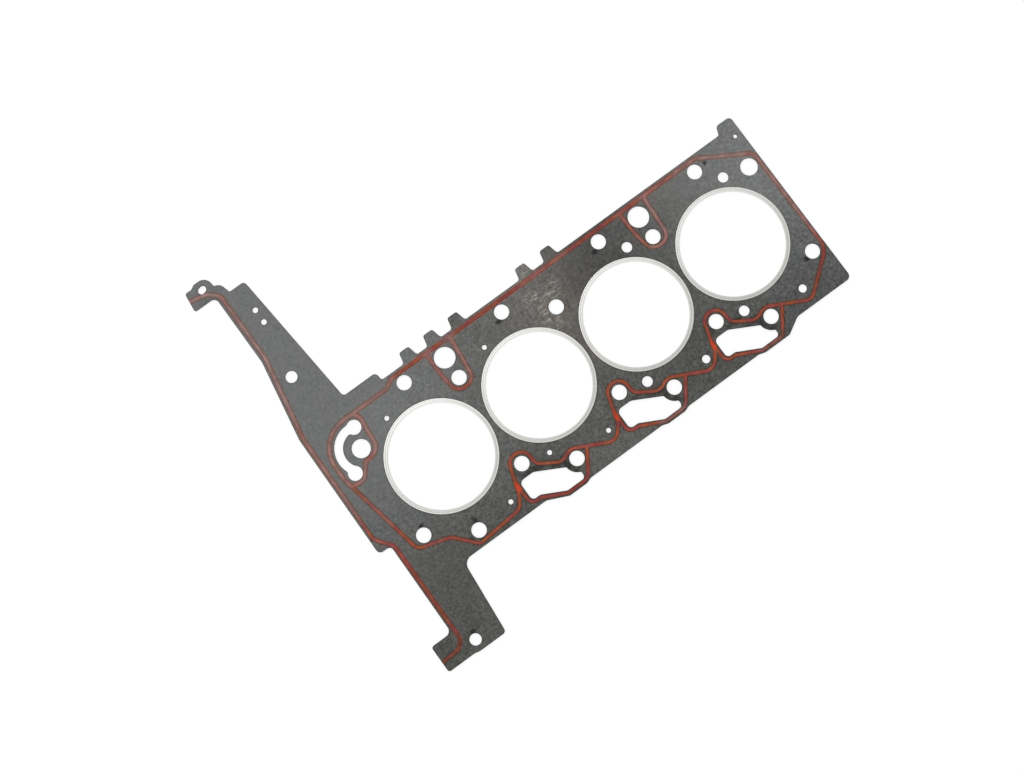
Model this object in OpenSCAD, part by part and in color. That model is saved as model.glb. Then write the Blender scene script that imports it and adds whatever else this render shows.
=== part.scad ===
// Composite cylinder head gasket for an in-line four with a timing case at its front end.
// Millimetres. X runs along the row of cylinders, Y across it and Z up, away from the block.
// The origin is the middle of the head-bolt pattern, on the lower face of the laminate.

/* [Cylinders] */
// Distance between neighbouring cylinder axes
bore_pitch = 94; // [93:1:120]
// Diameter of the opening inside each fire ring
bore_d = 83.5; // [66:0.5:85]

/* [Laminate] */
// Thickness of the steel core
core_t = 0.3; // [0.2:0.05:0.6]
// Thickness of the facing on each side of the core
facing_t = 0.55; // [0.35:0.05:0.9]

/* [Fire rings] */
// Thickness of the sheet that the rings are pressed from
ring_t = 0.2; // [0.16:0.01:0.3]
// Width of the ring flange on each face, from the bore outwards
flange_w = 3.25; // [2.6:0.05:3.6]
// Outer radius of the bend between flange and wall
ring_bend_r = 0.45; // [0.4:0.05:0.7]
// Gap between the bend inside a ring and the cut edge of the laminate
ring_gap = 0.1; // [0.05:0.05:0.4]
// Depth of the crease rolled round the middle of each flange
crease_depth = 0.06; // [0.02:0.01:0.1]
// Radius of the roller that leaves the crease
crease_r = 1.2; // [0.8:0.1:2]

/* [Head bolts] */
// Distance between the two rows of head bolts
bolt_rows = 83; // [80:1:104]
// Diameter of a head-bolt hole
bolt_hole_d = 12; // [10:0.5:13.5]
// Diameter of the front corner hole, which clears a dowel sleeve
front_dowel_d = 15; // [12:0.5:17]
// Diameter of the rear corner hole, which clears a dowel sleeve
rear_dowel_d = 14; // [12:0.5:16]

/* [Deck] */
// From the upper row of bolts to the upper edge
upper_land = 34; // [33:0.5:44]
// From the lower row of bolts to the lower edge between the drain windows
lower_land = 40.4; // [39.5:0.1:50]
// From the front bolts to the front edge
front_land = 36.5; // [36:0.5:46]
// From the rear bolts to the rear edge
rear_land = 12; // [11.8:0.1:20]

/* [Timing case flange] */
// From the upper row of bolts to the shoulder of the upper arm
arm_reach = 160.6; // [130:0.1:200]
// From the lower row of bolts to the end of the lower foot
foot_reach = 97.4; // [80:0.1:120]
// Diameter of the screw hole in the arm and in the foot
case_hole_d = 9.5; // [7:0.5:11]
// Diameter of the two locating holes in the arm
locating_hole_d = 4.6; // [3:0.1:6]
// Width of the slot at the tip of the arm
tip_slot_w = 5.6; // [4:0.1:6.2]
// Distance between the end centres of that slot
tip_slot_span = 1.5; // [0.5:0.1:2.5]

/* [Coolant and oil passages] */
// Diameter of a main coolant hole
coolant_d = 12; // [9:0.5:13.5]
// Diameter of a large riser hole above the second and fourth bolts
riser_d = 17; // [12:0.5:17.5]
// Diameter of a metering hole beside the rear cylinders
metering_d = 8.4; // [6:0.1:10]
// Diameter of a lower metering hole beside the rear cylinders
low_metering_d = 6.6; // [4:0.1:8]
// Diameter of a vent hole beside the front cylinders
vent_d = 3.9; // [2.5:0.1:5]
// Diameter of the pin hole in the rear corner tab
pin_hole_d = 3.2; // [2:0.1:4]
// Width of material left between a drain window and the coolant hole beside it
window_web = 4.8; // [4:0.1:5.5]
// Width of the curved oil slot round the front dowel hole
slot_w = 6.9; // [5:0.1:8]
// Radius of the middle line of that slot about the dowel hole
slot_r = 18; // [16:0.1:19]

/* [Sealing beads] */
// Width of a printed bead
bead_w = 2.8; // [1.8:0.1:3]
// Height of a printed bead, less than the ring sheet so that the rings touch first
bead_h = 0.14; // [0.08:0.01:0.15]

/* [Hidden] */
$fn = 72;

laminate_t = core_t + 2 * facing_t;
bore_r = bore_d / 2;
flange_r = bore_r + flange_w;
crease_x = bore_r + 0.56 * flange_w;
laminate_bore_r = bore_r + ring_bend_r + ring_gap;

// Bolt columns are numbered -2 to 2 from the front, cylinders 1 to 4
function column_x(i) = i * bore_pitch;
function cylinder_x(i) = (i - 2.5) * bore_pitch;
front_col = column_x(-2);
rear_col = column_x(2);
upper_row = bolt_rows / 2;
lower_row = -bolt_rows / 2;

upper_edge = upper_row + upper_land;
lower_edge = lower_row - lower_land;
front_edge = front_col - front_land;
rear_edge = rear_col + rear_land;
arm_top = upper_row + arm_reach;
foot_end = lower_row - foot_reach;

// Height of a bead's centre line along the upper edge
bead_run = upper_edge - 3.6;
// A window bulges past the lower edge by this much, and the bead follows inside it
window_bulge = 1.7;
window_floor = lower_edge + 2.7;
bead_floor = lower_edge + 1;
// The lower edge steps up by this much in front of the first window and behind the last
lower_step = 6.1;
// Coolant holes lie outboard of both bolt rows, the same distance from each cylinder axis
coolant_dx = 10;
coolant_dy = 22;
// Chord error allowed where a rounded corner is drawn as short straight lines
arc_error = 0.04;
crotch_r = 0.5;
past_end = 1;

// Corners and routes are lists of [x, y, radius], given from an anchor point
function from(anchor, corners) = [for (c = corners) [anchor.x + c[0], anchor.y + c[1], c[2]]];
function flat(p) = [p.x, p.y];
function unit(v) = v / norm(v);
function turned(v, a) = [v.x * cos(a) - v.y * sin(a), v.x * sin(a) + v.y * cos(a)];
function reversed(list) = [for (i = [len(list) - 1 : -1 : 0]) list[i]];
function arc(center, r, from_a, to_a, steps) =
    [for (i = [0 : steps]) center + r * [cos(from_a + (to_a - from_a) * i / steps),
        sin(from_a + (to_a - from_a) * i / steps)]];

// Points of the arc of radius r that rounds corner b between a and c
function fillet(a, b, c, r) =
    let (u = unit(a - b), v = unit(c - b), half = acos(u * v) / 2,
        center = b + unit(u + v) * r / sin(half),
        start = b + u * r / tan(half) - center,
        sweep = sign(cross(b - a, c - b)) * (180 - 2 * half),
        steps = ceil(abs(sweep) / (2 * acos(1 - arc_error / r))))
    [for (i = [0 : steps]) center + turned(start, sweep * i / steps)];

// A list of [x, y, radius] as a path with every corner rounded
function rounded(route, closed = true) =
    let (n = len(route))
    [for (i = [0 : n - 1])
        let (inner = closed || (i > 0 && i < n - 1), b = flat(route[i]))
        each inner && route[i][2] > 0
            ? fillet(flat(route[(i + n - 1) % n]), b, flat(route[(i + 1) % n]), route[i][2])
            : [b]];

// The path moved sideways by d, to the left of its direction
function beside(path, d, closed) =
    let (n = len(path))
    [for (i = [0 : n - 1])
        let (b = path[i],
            into = closed || i > 0 ? unit(b - path[(i + n - 1) % n]) : unit(path[1] - b),
            out = closed || i < n - 1 ? unit(path[(i + 1) % n] - b) : into,
            middle = unit(into + out))
        b + d / (middle * into) * [-middle.y, middle.x]];

// Locating teeth on the upper edge, each beside a bolt column
tooth_x = [column_x(-1) - 22.3, column_x(-1) + 0.6, column_x(-1) + 24.1,
    column_x(0) - 4.6, column_x(0) + 19.4];
function tooth(x) = from([x, upper_edge], [[-6.4, 0, 2.4], [-4.4, 9.1, 2], [4.4, 9.1, 2], [6.4, 0, 2.4]]);

// Outer edge of the laminate, clockwise from the hook at the tip of the arm
outline = concat(
    from([front_col, arm_top], [[-41.2, 19.1, 2], [-35, 19.1, 3], [-31.8, 21.1, 3], [-19.8, 21.1, 7.5],
        [-19.4, 11.1, 2], [-14.3, 9.3, 6.5], [-11.8, 0, 1.5], [2.1, 0, 3.2]]),
    from([front_col, upper_edge], [[12.6, 7.5, 3], [43.8, 7.5, 3.6], [44, 0, 2.2]]),
    [for (x = tooth_x) each tooth(x)],
    from([rear_col, upper_edge], [[-4, 0, 2.5], [-1.7, 7.2, 3.2]]),
    [[rear_edge - 0.3, upper_edge + 7.2, 3.4], [rear_edge, lower_edge + lower_step, 4.2]],
    from([column_x(1), lower_edge], [[53.5, lower_step, 6], [40, -window_bulge, 3],
        [16.6, -window_bulge, 5], [11.5, 0, 5]]),
    from([column_x(0), lower_edge], [[37.5, 0, 6], [32.5, -window_bulge, 5],
        [16.6, -window_bulge, 5], [11.5, 0, 5]]),
    from([column_x(-1), lower_edge], [[37, 0, 6], [32, -window_bulge, 5],
        [15.7, -window_bulge, 4], [-1.6, lower_step, 4]]),
    [[front_col + 13.4, lower_edge + lower_step, 7.5]],
    from([front_col, foot_end], [[7.9, 0, 3], [-17, 0, 10], [-21, 1, 10], [-45.6, 1, 2.2],
        [-45.5, 24.4, 2.2], [-26.5, 24.4, 5]]),
    [[front_col - 25.5, lower_row + 8.3, 3.5], [front_edge, lower_row + 8.3, 4]],
    [[front_edge + 1.3, upper_row + 33.5, 15]],
    from([front_col, arm_top], [[-23.4, -60.1, 20], [-23.5, 2.9, 4.5], [-43, 2.9, 1.8]]));

// Sides of a drain window, clockwise from its upper front corner
function window(x) = concat(
    from([x, lower_row], [[-10, -10.5, 4], [3.3, -10.5, 6], [27.5, -23.3, 0], [33.7, -33, 0]]),
    from([x, window_floor], [[33.3, 0, 3], [16.5, 0, 3], [-2.5, 9.8, 3], [-10, 9.8, 3.4]]));

// Main bead, clockwise: along the upper edge, down the rear, back under the cylinders and
// over each bolt, then up the front and round the oil slot
bead_over_bolt = [[36.5, -12.6, 10], [26.5, -17.8, 9], [8.8, -6.7, 7], [8.3, 8.9, 8.6], [-6.9, 8.9, 8.4]];
main_bead = concat(
    [[front_col + 43.4, upper_row + 26, 6], [front_col + 50.4, bead_run, 6]],
    [[rear_col - 30.8, bead_run, 6], [rear_edge - 2.4, upper_row + 6.7, 9]],
    [[rear_edge - 2, lower_row - 3.5, 15]],
    from([rear_col, lower_row], [[-23.3, -30.2, 8]]),
    from([column_x(1), lower_row], concat(bead_over_bolt, [[-14.7, -18.7, 12], [-24, -29.3, 9]])),
    from([column_x(0), lower_row], concat(bead_over_bolt, [[-14.7, -18.7, 12], [-24, -29.3, 9]])),
    from([column_x(-1), lower_row], concat(bead_over_bolt, [[-15.7, -18.5, 12], [-21.7, -27.4, 9]])),
    from([front_col, lower_row], [[32.1, -31.1, 6], [16.3, -13.7, 12], [-9.9, -5.6, 7]]),
    from([front_col, upper_row], [[-24.5, -12.5, 10], [-24.6, 26, 26]]));

// Branch that closes the loop round the oil slot, on its inner side
slot_branch = from([front_col, upper_row], [[3.5, 26.4, 0], [14.4, 25.2, 7.5], [12.1, 8, 10],
    [11.3, -9.5, 10.2], [-2.4, -9.9, 5], [-11.7, -20.9, 5], [-22.9, -20.7, 4], [-24.3, -15.5, 0]]);
// Branch round the outside of a drain window, where turn_r rounds its last corner
function window_branch(x, turn_r, end_dx) = concat(
    from([x, lower_row], [[-13.5, -11, 0], [-12.8, -18.5, 8], [-12.2, -29.6, 5.5], [-3.5, -30, 6]]),
    [[x + 15.7, bead_floor, 6], [x + 35.3, bead_floor, turn_r], [x + end_dx, lower_row - 18.8, 0]]);
// Branches down round the second and the fourth upper bolt with their riser holes
riser_branch_front = from([column_x(-1), upper_row], [[-14.4, 30.9, 0], [-10.2, 30.1, 3.4],
    [-9.9, 7.5, 12], [-7.7, -8.7, 8], [8.9, -8.7, 8.3], [12.9, 30.4, 0]]);
riser_branch_rear = from([column_x(1), upper_row], [[-10.9, 30.4, 0], [-10.1, 10.5, 12],
    [-7.2, -8.5, 9], [10.2, -8.5, 8.5], [12.5, 29.8, 3], [16.6, 30.7, 0]]);

// Bead along the timing case joint, from the hook of the arm to the foot
front_bead = concat(
    from([front_col, arm_top], [[-41.8, 12, 0], [-27.6, 9.6, 10], [-19.5, 1.4, 6], [-19.5, -59.1, 30]]),
    [[front_edge + 4.4, upper_row + 32.5, 25], [front_edge + 3.1, lower_row + 20.4, 10]],
    [[front_col - 23, lower_row + 6.7, 9]],
    from([front_col, foot_end], [[-23.3, 11.2, 10], [-44.6, 10.9, 0]]));

module hole(x, y, d) {
    translate([x, y]) circle(d = d);
}

module bolt_holes() {
    for (i = [-1 : 1], y = [lower_row, upper_row]) hole(column_x(i), y, bolt_hole_d);
    hole(front_col, lower_row, bolt_hole_d);
    hole(rear_col, lower_row, bolt_hole_d);
    hole(front_col, upper_row, front_dowel_d);
    hole(rear_col, upper_row, rear_dowel_d);
}

module coolant_holes() {
    for (i = [1 : 4]) {
        hole(cylinder_x(i) + coolant_dx, upper_row + coolant_dy, coolant_d);
        hole(cylinder_x(i) - coolant_dx, lower_row - coolant_dy, coolant_d);
    }
    for (i = [-1, 1]) hole(column_x(i), upper_row + 19.2, riser_d);
}

module metering_holes() {
    for (i = [3, 4]) {
        hole(cylinder_x(i) + 25.5, upper_row + 5.3, metering_d);
        hole(cylinder_x(i) - 24.3, lower_row - 6.1, metering_d);
        hole(cylinder_x(i) + 23.1, lower_row - 19, low_metering_d);
    }
    for (i = [1, 2]) {
        hole(cylinder_x(i) - 17.2, upper_row + 7.4, vent_d);
        hole(cylinder_x(i) + 22.7, lower_row - 18.9, vent_d);
    }
    hole(cylinder_x(2) - 24.5, lower_row - 5.8, vent_d);
}

module case_holes() {
    hole(front_col - 11.4, upper_row + 77.5, case_hole_d);
    hole(front_col - 14.4, foot_end + 9.2, case_hole_d);
    for (drop = [23.7, 35.2]) hole(front_col - 3.9, arm_top - drop, locating_hole_d);
    hole(rear_col + 5.8, upper_row + 25.9, pin_hole_d);
    translate([front_col - 28.5, arm_top + 13.9]) rotate(12) {
        square([tip_slot_span, tip_slot_w], center = true);
        for (side = [-1, 1]) hole(side * tip_slot_span / 2, 0, tip_slot_w);
    }
}

// Drain window whose rear side keeps an even web round the coolant hole beside it
module drain_window(i) {
    offset(r = 1.5, $fn = 24) offset(delta = -1.5) difference() {
        polygon(rounded(window(column_x(i))));
        hole(cylinder_x(i + 3) - coolant_dx, lower_row - coolant_dy, coolant_d + 2 * window_web);
    }
}

// Oil slot that curves round the front dowel hole and ends in two lobes
module oil_slot() {
    translate([front_col, upper_row]) offset(r = -2, $fn = 24) offset(delta = 2) {
        polygon(concat(arc([0.5, 0], slot_r + slot_w / 2, 78, 213, 30),
            arc([0.5, 0], slot_r - slot_w / 2, 213, 78, 30)));
        hole(5, 16.8, 11.9);
        hole(-14.9, -12.9, 11.8);
    }
}

// Plan of the laminate with every opening punched through it
module laminate_plan() {
    difference() {
        polygon(rounded(outline));
        for (i = [1 : 4]) hole(cylinder_x(i), 0, 2 * laminate_bore_r);
        bolt_holes();
        coolant_holes();
        metering_holes();
        case_holes();
        for (i = [-1 : 1]) drain_window(i);
        oil_slot();
    }
}

module steel_core() {
    color("slategray") translate([0, 0, facing_t]) linear_extrude(core_t) laminate_plan();
}

module facing(z) {
    color("dimgray") translate([0, 0, z]) linear_extrude(facing_t) laminate_plan();
}

// Half section of a band from x0 outwards to x1 whose corners at x0 are rounded
module rounded_band(x0, x1, z0, z1, r) {
    translate([x0 + r, z0]) square([x1 - x0 - r, z1 - z0]);
    translate([x0, z0 + r]) square([x1 - x0, z1 - z0 - 2 * r]);
    for (z = [z0 + r, z1 - r]) translate([x0 + r, z]) circle(r = r);
}

// Section of a fire ring: a sheet folded into a U round the bore edge of the laminate
module ring_section() {
    difference() {
        rounded_band(bore_r, flange_r, -ring_t, laminate_t + ring_t, ring_bend_r);
        rounded_band(bore_r + ring_t, flange_r + past_end, 0, laminate_t, ring_bend_r - ring_t);
        translate([crease_x, laminate_t + ring_t + crease_r - crease_depth]) circle(r = crease_r);
        translate([crease_x, -ring_t - crease_r + crease_depth]) circle(r = crease_r);
    }
}

module fire_ring(i) {
    color("gainsboro") translate([cylinder_x(i), 0, 0]) rotate_extrude() ring_section();
}

// Plan of one printed strand along a route
module strand(route, closed = false) {
    path = rounded(route, closed);
    left = beside(path, bead_w / 2, closed);
    right = beside(path, -bead_w / 2, closed);
    if (closed) difference() {
        polygon(left);
        polygon(right);
    }
    else polygon(concat(left, reversed(right)));
}

// The main bead with its branches, the sharp crotches between them filled as the print fills them
module main_bead_plan() {
    offset(r = -crotch_r, $fn = 16) offset(delta = crotch_r) {
        strand(main_bead, closed = true);
        strand(slot_branch);
        strand(riser_branch_front);
        strand(riser_branch_rear);
        strand(window_branch(column_x(-1), 9, 48.9));
        strand(window_branch(column_x(0), 9, 50.1));
        strand(window_branch(column_x(1), 4, 50));
    }
}

module bead_on_face(z) {
    color("orangered") translate([0, 0, z]) linear_extrude(bead_h) children();
}

module bead_upper_main() {
    bead_on_face(laminate_t) main_bead_plan();
}

module bead_upper_front() {
    bead_on_face(laminate_t) strand(front_bead);
}

module bead_lower_main() {
    bead_on_face(-bead_h) main_bead_plan();
}

module bead_lower_front() {
    bead_on_face(-bead_h) strand(front_bead);
}

steel_core();
facing(facing_t + core_t);  // facing_upper
facing(0);  // facing_lower
fire_ring(1);  // fire_ring_1
fire_ring(2);  // fire_ring_2
fire_ring(3);  // fire_ring_3
fire_ring(4);  // fire_ring_4
bead_upper_main();
bead_upper_front();
bead_lower_main();
bead_lower_front();
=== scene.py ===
"""A composite cylinder head gasket for an in-line four, lying flat on a pale table.

Two fibre facings are pressed on to a steel core, a bright fire ring is folded round each
cylinder opening, and red silicone beads are printed on both faces.
"""

import logging
import math
from dataclasses import dataclass
from enum import Enum
from typing import ClassVar

import bmesh
import bpy
import numpy as np
from mathutils import Euler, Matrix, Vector
from mathutils.geometry import delaunay_2d_cdt
from mathutils.kdtree import KDTree


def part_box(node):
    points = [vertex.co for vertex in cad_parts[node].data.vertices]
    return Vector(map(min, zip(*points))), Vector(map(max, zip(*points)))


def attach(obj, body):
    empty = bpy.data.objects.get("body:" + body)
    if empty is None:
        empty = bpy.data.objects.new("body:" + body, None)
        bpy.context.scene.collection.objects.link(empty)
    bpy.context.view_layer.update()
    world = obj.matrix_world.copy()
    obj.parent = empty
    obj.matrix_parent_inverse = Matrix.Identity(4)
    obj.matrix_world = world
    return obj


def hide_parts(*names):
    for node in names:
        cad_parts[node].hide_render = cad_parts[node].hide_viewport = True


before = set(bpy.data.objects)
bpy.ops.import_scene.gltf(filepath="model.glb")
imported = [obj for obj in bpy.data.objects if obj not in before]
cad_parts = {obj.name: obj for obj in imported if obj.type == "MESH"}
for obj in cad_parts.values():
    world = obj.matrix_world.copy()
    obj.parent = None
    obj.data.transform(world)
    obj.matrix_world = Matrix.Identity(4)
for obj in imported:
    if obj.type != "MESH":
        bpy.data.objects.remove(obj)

MM = 0.001
BODY = "root"

# Sizes that several pieces share, in millimetres.
PITCH = 94.0
LAMINATE = 1.4
FACING_ROLL = 0.11
BEAD_HEIGHT = 0.14

# Distances in metres at which two corners of a piece, of a punched sheet or of the model are one.
WELD = 1e-7
SHEET_WELD = 2e-7
MODEL_WELD = 1e-6

DISPLAY_GAMMA = 2.2

Colour = tuple[float, float, float, float]
Corner = tuple[float, float, float]
Route = list[Corner]
Socket = bpy.types.NodeSocket

log = logging.getLogger("gasket")


class Face(Enum):
    """The face of the laminate that a piece lies on, as the sign of its height."""

    UPPER = 1
    LOWER = -1


@dataclass(frozen=True)
class Patch:
    """A soft round patch of a surface, in millimetres, and how strong it is at its middle."""

    x: float
    y: float
    reach_x: float
    reach_y: float
    strength: float = 1.0


class Bench:
    """Sets out and wires the nodes of one tree."""

    def __init__(self, tree: bpy.types.NodeTree) -> None:
        """Takes the tree to work on."""
        self.tree = tree

    def add(self, kind: str, **settings: object) -> bpy.types.Node:
        """Adds a node to the tree.

        Args:
            kind: type name of the node.
            settings: properties of the node, by name.

        Returns:
            The new node.
        """
        node = self.tree.nodes.new(kind)
        for name, value in settings.items():
            setattr(node, name, value)
        return node

    def feed(self, target: Socket, source: object) -> None:
        """Links an input to another socket, or sets it to a plain value.

        Args:
            target: the input.
            source: an output socket, a node whose first output is meant, or a plain value.
        """
        if isinstance(source, bpy.types.Node):
            source = source.outputs[0]
        if isinstance(source, bpy.types.NodeSocket):
            self.tree.links.new(source, target)
        else:
            target.default_value = source

    def make(self, kind: str, inputs: dict[str | int, object], **settings: object) -> bpy.types.Node:
        """Adds a node and feeds its inputs.

        Args:
            kind: type name of the node.
            inputs: what goes into each input, by its name or number.
            settings: properties of the node, by name.

        Returns:
            The new node.
        """
        node = self.add(kind, **settings)
        for name, source in inputs.items():
            self.feed(node.inputs[name], source)
        return node

    def sum(self, operation: str, *values: object) -> Socket:
        """Works out one step of arithmetic on one to three numbers or sockets."""
        return self.make("ShaderNodeMath", dict(enumerate(values)), operation=operation).outputs[0]

    def total(self, *values: object) -> Socket:
        """Adds up numbers and sockets.

        Args:
            values: the numbers and sockets.

        Returns:
            The total's socket.
        """
        result = values[0]
        for value in values[1:]:
            result = self.sum("ADD", result, value)
        return result

    def held(self, value: Socket) -> Socket:
        """Holds a value between 0 and 1."""
        return self.sum("MINIMUM", self.sum("MAXIMUM", value, 0.0), 1.0)

    def swing(self, pattern: Socket, strength: object) -> Socket:
        """Turns a pattern about one half into a swing about zero."""
        return self.sum("MULTIPLY", self.sum("SUBTRACT", pattern, 0.5), strength)

    def vector(self, operation: str, *values: object) -> Socket:
        """Works out one step of arithmetic on vectors.

        Args:
            operation: name of the operation.
            values: its vectors or sockets, or a vector and a number for SCALE.

        Returns:
            The result's socket.
        """
        places = (0, "Scale" if operation == "SCALE" else 1)
        node = self.make("ShaderNodeVectorMath", dict(zip(places, values)), operation=operation)
        return node.outputs["Value" if operation in ("DOT_PRODUCT", "LENGTH") else "Vector"]

    def triple(self, x: object, y: object, z: object) -> Socket:
        """Puts three numbers together as a vector."""
        return self.make("ShaderNodeCombineXYZ", {"X": x, "Y": y, "Z": z}).outputs[0]

    def axes(self, place: Socket) -> bpy.types.bpy_prop_collection:
        """Gives the parts of a position by the names X, Y and Z."""
        return self.make("ShaderNodeSeparateXYZ", {0: place}).outputs

    def attribute(self, name: str) -> Socket:
        """Reads a number that the mesh carries."""
        return self.add("ShaderNodeAttribute", attribute_name=name).outputs["Fac"]

    def rise(self, value: Socket, low: float, high: float,
             start: float = 0.0, end: float = 1.0) -> Socket:
        """Maps a value on to a smooth step.

        Args:
            value: the value to map.
            low: value at which the step begins.
            high: value at which it ends.
            start: result at and below low.
            end: result at and above high.

        Returns:
            The result's socket.
        """
        inputs = {"Value": value, "From Min": low, "From Max": high, "To Min": start, "To Max": end}
        node = self.make("ShaderNodeMapRange", inputs, interpolation_type="SMOOTHSTEP")
        return node.outputs["Result"]

    def vary(self, pattern: Socket, low: float, high: float) -> Socket:
        """Spreads the usual span of a random pattern over a range."""
        return self.rise(pattern, 0.3, 0.7, low, high)

    def blend(self, factor: object, first: object, second: object, mode: str = "MIX") -> Socket:
        """Blends two colours.

        Args:
            factor: how much of the second colour there is.
            first: the colour below.
            second: the colour above.
            mode: how they are blended.

        Returns:
            The blended colour's socket.
        """
        inputs = {0: factor, 6: first, 7: second}
        return self.make("ShaderNodeMix", inputs, data_type="RGBA", blend_type=mode).outputs[2]

    def noise(self, place: Socket, grain: float, detail: float = 2.0, rough: float = 0.5) -> Socket:
        """Makes an even random pattern about one half.

        Args:
            place: position in millimetres.
            grain: size of one patch in millimetres.
            detail: number of finer layers.
            rough: strength of each finer layer.

        Returns:
            The pattern's socket, from 0 to 1.
        """
        inputs = {"Vector": place, "Scale": 1.0 / grain, "Detail": detail, "Roughness": rough}
        return self.make("ShaderNodeTexNoise", inputs).outputs["Fac"]

    def pool(self, place: Socket, patch: Patch) -> Socket:
        """Makes a soft round patch in plan.

        Args:
            place: position in millimetres.
            patch: where it lies, and how far out it has faded to a third.

        Returns:
            The patch's socket, 1 at its middle and 0 far from it.
        """
        apart = self.vector("SUBTRACT", place, (patch.x, patch.y, 0.0))
        scaled = self.vector("MULTIPLY", apart, (1.0 / patch.reach_x, 1.0 / patch.reach_y, 0.0))
        square = self.vector("DOT_PRODUCT", scaled, scaled)
        return self.sum("EXPONENT", self.sum("MULTIPLY", square, -1.0))

    def covered(self, place: Socket, patches: tuple[Patch, ...]) -> Socket:
        """Makes one pattern of several patches, the strongest of them at each place.

        Args:
            place: position in millimetres.
            patches: the patches, whose own strengths are left out.

        Returns:
            The pattern's socket, from 0 to 1.
        """
        total = 0.0
        for patch in patches:
            total = self.sum("MAXIMUM", self.pool(place, patch), total)
        return total

    def marked(self, value: Socket, place: Socket, patches: tuple[Patch, ...], way: float) -> Socket:
        """Changes a value by several patches.

        Args:
            value: the value to change.
            place: position in millimetres.
            patches: the patches.
            way: 1 to add their strengths, -1 to take them away.

        Returns:
            The changed value's socket.
        """
        for patch in patches:
            value = self.sum("MULTIPLY_ADD", self.pool(place, patch), way * patch.strength, value)
        return value

    def seen(self) -> Socket:
        """Tells what the camera sees, itself or through a reflection, from what only gives light.

        Returns:
            The socket, 1 where it is seen.
        """
        path = self.add("ShaderNodeLightPath")
        seen = self.sum("MAXIMUM", path.outputs["Is Camera Ray"], path.outputs["Is Glossy Ray"])
        return self.sum("MAXIMUM", seen, path.outputs["Is Transmission Ray"])

    def end(self, shape: bpy.types.Node, offset: Socket, material: Socket, result: Socket) -> None:
        """Ends a Geometry Nodes tree.

        Args:
            shape: node that gives the shape.
            offset: how far the shape is moved.
            material: finish of the shape.
            result: input of the tree's result.
        """
        placed = self.make("GeometryNodeSetPosition", {"Geometry": shape, "Offset": offset})
        real = self.make("GeometryNodeRealizeInstances", {0: placed})
        self.feed(result, self.make("GeometryNodeSetMaterial", {"Geometry": real, "Material": material}))


@dataclass(frozen=True)
class Finish:
    """What every finish of the gasket has."""

    name: str

    def start(self) -> tuple[bpy.types.Material, Bench, bpy.types.Node, Socket]:
        """Begins the material.

        Returns:
            The material, its bench, its main shader and the position in millimetres.
        """
        material = bpy.data.materials.new(self.name)
        material.use_nodes = True
        bench = Bench(material.node_tree)
        shader = material.node_tree.nodes["Principled BSDF"]
        here = bench.add("ShaderNodeTexCoord").outputs["Object"]
        return material, bench, shader, bench.vector("SCALE", here, 1.0 / MM)

    def dent(self, bench: Bench, shader: bpy.types.Node, height: Socket, depth: float) -> None:
        """Gives the shader a fine relief.

        Args:
            bench: bench of the material.
            shader: the shader that shows the relief.
            height: pattern from 0 to 1.
            depth: height of the pattern in millimetres.
        """
        bump = bench.make("ShaderNodeBump", {"Strength": 1.0, "Distance": depth * MM, "Height": height})
        bench.feed(shader.inputs["Normal"], bump)


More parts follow.
